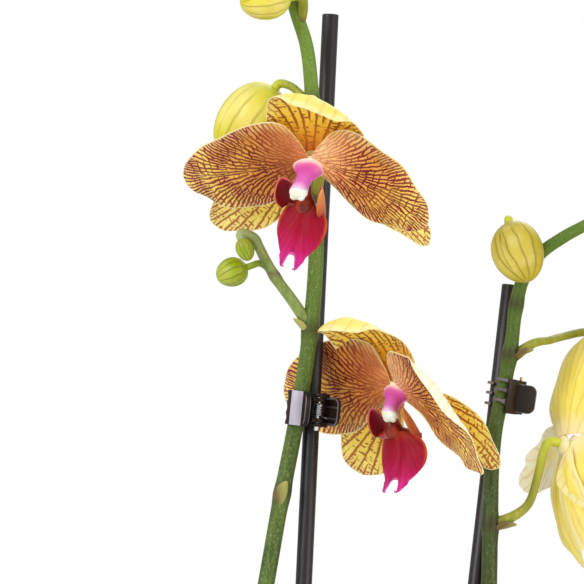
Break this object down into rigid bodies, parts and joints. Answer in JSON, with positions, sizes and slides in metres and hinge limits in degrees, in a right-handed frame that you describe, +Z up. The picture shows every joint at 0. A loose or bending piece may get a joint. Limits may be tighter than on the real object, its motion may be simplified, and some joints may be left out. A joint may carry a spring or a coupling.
{
  "type": "potted orchid",
  "caption": "Potted moth orchid with two arching flower spikes held to stakes by spring clips, patterned golden blooms with crimson lips, and green buds.",
  "frame": {"origin": "middle of the pot's underside, where the pot rests", "axes": "+Z up along the plant, blooms look towards -Y, +X to the viewer's right"},
  "size_m": [0.3658, 0.1546, 0.5652],
  "materials": {
    "pot_plastic": "matt terracotta-coloured plastic",
    "bark": "dry, rough bark",
    "stem_green": "green stem with a grey bloom",
    "root_grey": "silvery grey-green root skin",
    "leaf_green": "waxy dark green leaf",
    "stake_black": "satin black",
    "petal_gold": "golden petal with a purple-red net of veins, pale yellow outside",
    "lip_crimson": "velvety crimson",
    "column_pink": "waxy pink with a cream tip",
    "bud_yellow_green": "waxy yellow-green bud",
    "clip_black": "glossy black moulding",
    "pin_brass": "bright brass pin",
    "spring_steel": "bright spring wire"
  },
  "bodies": {
    "root": {"bark": "bark", "bud_1": "bud_yellow_green", "bud_2": "bud_yellow_green", "bud_3": "bud_yellow_green", "bud_4": "bud_yellow_green", "bud_5": "bud_yellow_green", "bud_6": "bud_yellow_green", "bud_7": "bud_yellow_green", "bud_8": "bud_yellow_green", "bud_9": "bud_yellow_green", "clip_1_back": "clip_black", "clip_1_coil": "spring_steel", "clip_1_pin": "pin_brass", "clip_2_back": "clip_black", "clip_2_coil": "spring_steel", "clip_2_pin": "pin_brass", "column_1": "column_pink", "column_2": "column_pink", "column_3": "column_pink", "column_4": "column_pink", "crown": "stem_green", "leaf_1": "leaf_green", "leaf_2": "leaf_green", "leaf_3": "leaf_green", "leaf_4": "leaf_green", "leaf_5": "leaf_green", "leaf_6": "leaf_green", "lip_1": "lip_crimson", "lip_2": "lip_crimson", "lip_3": "lip_crimson", "lip_4": "lip_crimson", "petals_1": "petal_gold", "petals_2": "petal_gold", "petals_3": "petal_gold", "petals_4": "petal_gold", "pot": "pot_plastic", "root_1": "root_grey", "root_2": "root_grey", "root_3": "root_grey", "root_4": "root_grey", "spike_1": "stem_green", "spike_2": "stem_green", "stake_1": "stake_black", "stake_2": "stake_black"},
    "clip_1_jaw": {"clip_1_jaw": "clip_black"},
    "clip_2_jaw": {"clip_2_jaw": "clip_black"}
  },
  "joints": [
    {"name": "clip_1_open", "type": "hinge", "parent": "root", "child": "clip_1_jaw", "pos_m": [-0.00383, -0.00372, 0.39579], "axis": [0.0995, 0, 0.995], "range_deg": [0, 24], "stiffness_Nm_per_rad": 0.02, "springref_deg": -8.59},
    {"name": "clip_2_open", "type": "hinge", "parent": "root", "child": "clip_2_jaw", "pos_m": [0.06053, 0.0042, 0.3996], "axis": [0.1483, 0, 0.9889], "range_deg": [0, 24], "stiffness_Nm_per_rad": 0.02, "springref_deg": -8.59}
  ]
}
